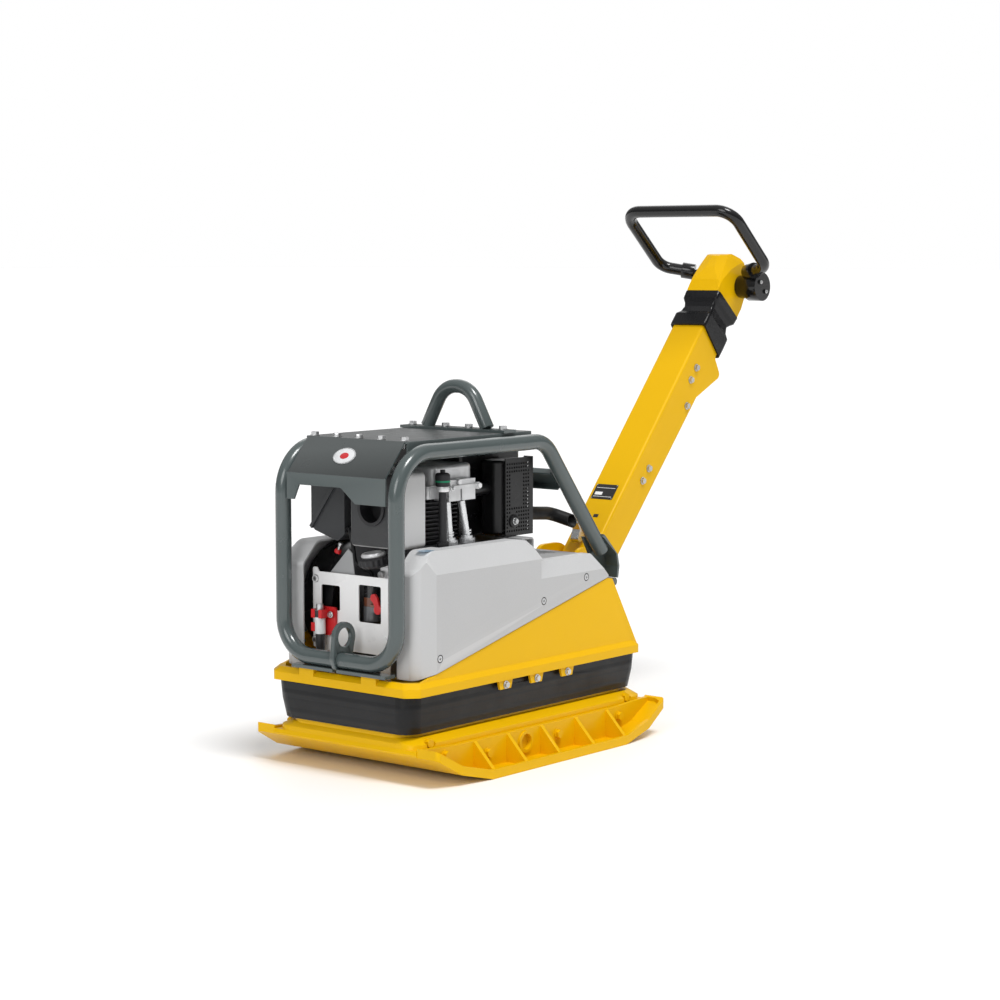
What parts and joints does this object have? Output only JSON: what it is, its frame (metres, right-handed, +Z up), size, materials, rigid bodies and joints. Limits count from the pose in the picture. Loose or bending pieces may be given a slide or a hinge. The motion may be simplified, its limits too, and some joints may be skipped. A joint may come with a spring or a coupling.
{
  "type": "plate compactor",
  "caption": "Reversible vibrating plate compactor with diesel engine, tubular guard frame, lifting hoop, folding centre pole and tilting control handle.",
  "frame": {"origin": "on the ground, at the centre of the base plate's flat contact face", "axes": "+X forward travel, away from the operator's pole; +Y the machine's left side; +Z up"},
  "size_m": [1.6472, 0.605, 1.3436],
  "materials": {
    "yellow_paint": "gloss powder coat",
    "frame_grey": "satin powder coat",
    "cover_grey": "fine textured moulding",
    "black_rubber": "matt rubber",
    "gloss_black": "gloss black tube coating",
    "zinc": "zinc plated",
    "cast": "cast",
    "alloy": "die cast",
    "chromed": "bright",
    "engine_black": "black heat paint",
    "black_plastic": "moulded",
    "filter_grey": "moulded",
    "white_plate": "light painted sheet",
    "red_plastic": "moulded",
    "steel": "machined",
    "shell_alloy": "powder-coated casting",
    "gloss_black_steel": "gloss black tube coating"
  },
  "bodies": {
    "lower_mass": {"base_plate": "yellow_paint", "left_wing_plate": "yellow_paint", "right_wing_plate": "yellow_paint", "wing_bolts": "zinc", "exciter_housing": "cast", "exciter_bearings": "steel", "rubber_buffers": "black_rubber", "v_belt": "black_rubber"},
    "front_exciter": {"front_exciter_shaft": "steel", "front_timing_gear": "steel", "exciter_pulley": "cast"},
    "rear_exciter": {"rear_exciter_shaft": "steel", "rear_timing_gear": "steel"},
    "upper_mass": {"console_tray": "yellow_paint", "skirt": "black_rubber", "skirt_screws": "zinc", "left_side_cover": "cover_grey", "right_side_cover": "cover_grey", "cover_screws": "zinc", "rear_deck": "cover_grey", "cage_tube": "frame_grey", "cage_foot_plate": "frame_grey", "cage_brackets": "frame_grey", "tow_eye": "frame_grey", "rear_cross_member": "frame_grey", "top_plate": "frame_grey", "front_visor": "frame_grey", "roof_bolts": "zinc", "lifting_hoop": "frame_grey", "crankcase": "alloy", "finned_cylinder": "cast", "cylinder_head": "alloy", "pushrod_tubes": "chromed", "oil_filler_tube": "black_plastic", "fan_housing": "engine_black", "air_filter_box": "filter_grey", "air_intake": "black_plastic", "fuel_tank": "black_plastic", "fuel_filter": "black_plastic", "fuel_hose": "black_rubber", "muffler": "engine_black", "muffler_guard": "engine_black", "exhaust_pipe": "engine_black", "service_plate": "white_plate", "hose_clip": "red_plastic", "drain_hose": "black_rubber", "pole_pivot_pin": "steel"},
    "engine_crank": {"crankshaft": "steel", "flywheel": "cast"},
    "clutch_drum": {"clutch_pulley": "cast"},
    "fuel_cap": {"tank_cap": "black_plastic"},
    "oil_cap": {"oil_filler_cap": "black_plastic"},
    "fuel_tap": {"fuel_tap_lever": "red_plastic"},
    "lock_lever": {"pole_lock_lever": "zinc"},
    "centre_pole": {"pole": "yellow_paint", "pole_bolts": "zinc", "rubber_boot": "black_rubber", "pole_head": "shell_alloy"},
    "control_handle": {"handle_hub": "gloss_black", "handle_loop": "gloss_black_steel"}
  },
  "joints": [
    {"name": "buffer_travel", "type": "slide", "parent": "lower_mass", "child": "upper_mass", "axis": [0, 0, 1], "range_m": [-0.006, 0.006], "stiffness_N_per_m": 600000, "springref_m": 0.00301, "deforming": ["rubber_buffers", "v_belt"]},
    {"name": "front_exciter_spin", "type": "hinge", "parent": "lower_mass", "child": "front_exciter", "pos_m": [0.07, 0, 0.104], "axis": [0, 1, 0], "continuous": true},
    {"name": "rear_exciter_spin", "type": "hinge", "parent": "lower_mass", "child": "rear_exciter", "pos_m": [-0.07, 0, 0.104], "axis": [0, 1, 0], "continuous": true},
    {"name": "clutch_drum_spin", "type": "hinge", "parent": "upper_mass", "child": "clutch_drum", "pos_m": [0.225, 0, 0.38], "axis": [0, 1, 0], "continuous": true},
    {"name": "crankshaft_spin", "type": "hinge", "parent": "upper_mass", "child": "engine_crank", "pos_m": [0.225, 0, 0.38], "axis": [0, 1, 0], "continuous": true},
    {"name": "fuel_cap_turn", "type": "hinge", "parent": "upper_mass", "child": "fuel_cap", "pos_m": [0.27, -0.13, 0.72], "axis": [0, 0, 1], "range_deg": [0, 90]},
    {"name": "oil_cap_lift", "type": "slide", "parent": "upper_mass", "child": "oil_cap", "axis": [0, 0, 1], "range_m": [0, 0.03]},
    {"name": "fuel_tap_turn", "type": "hinge", "parent": "upper_mass", "child": "fuel_tap", "pos_m": [0.372, 0.046, 0.385], "axis": [1, 0, 0], "range_deg": [0, 80]},
    {"name": "pole_fold", "type": "hinge", "parent": "upper_mass", "child": "centre_pole", "pos_m": [-0.436, 0, 0.405], "axis": [0, 1, 0], "range_deg": [-30, 40.7]},
    {"name": "lock_lever_turn", "type": "hinge", "parent": "centre_pole", "child": "lock_lever", "pos_m": [-0.47369, 0, 0.49789], "axis": [0, 1, 0], "range_deg": [-25, 0], "stiffness_Nm_per_rad": 0.6, "springref_deg": 14.32},
    {"name": "handle_tilt", "type": "hinge", "parent": "centre_pole", "child": "control_handle", "pos_m": [-1.12447, 0, 1.12261], "axis": [0, 1, 0], "range_deg": [-32, 32]}
  ],
  "couplings": [
    {"joint": "rear_exciter_spin", "follows": "front_exciter_spin", "ratio": -1},
    {"joint": "clutch_drum_spin", "follows": "front_exciter_spin", "ratio": 0.7564}
  ]
}
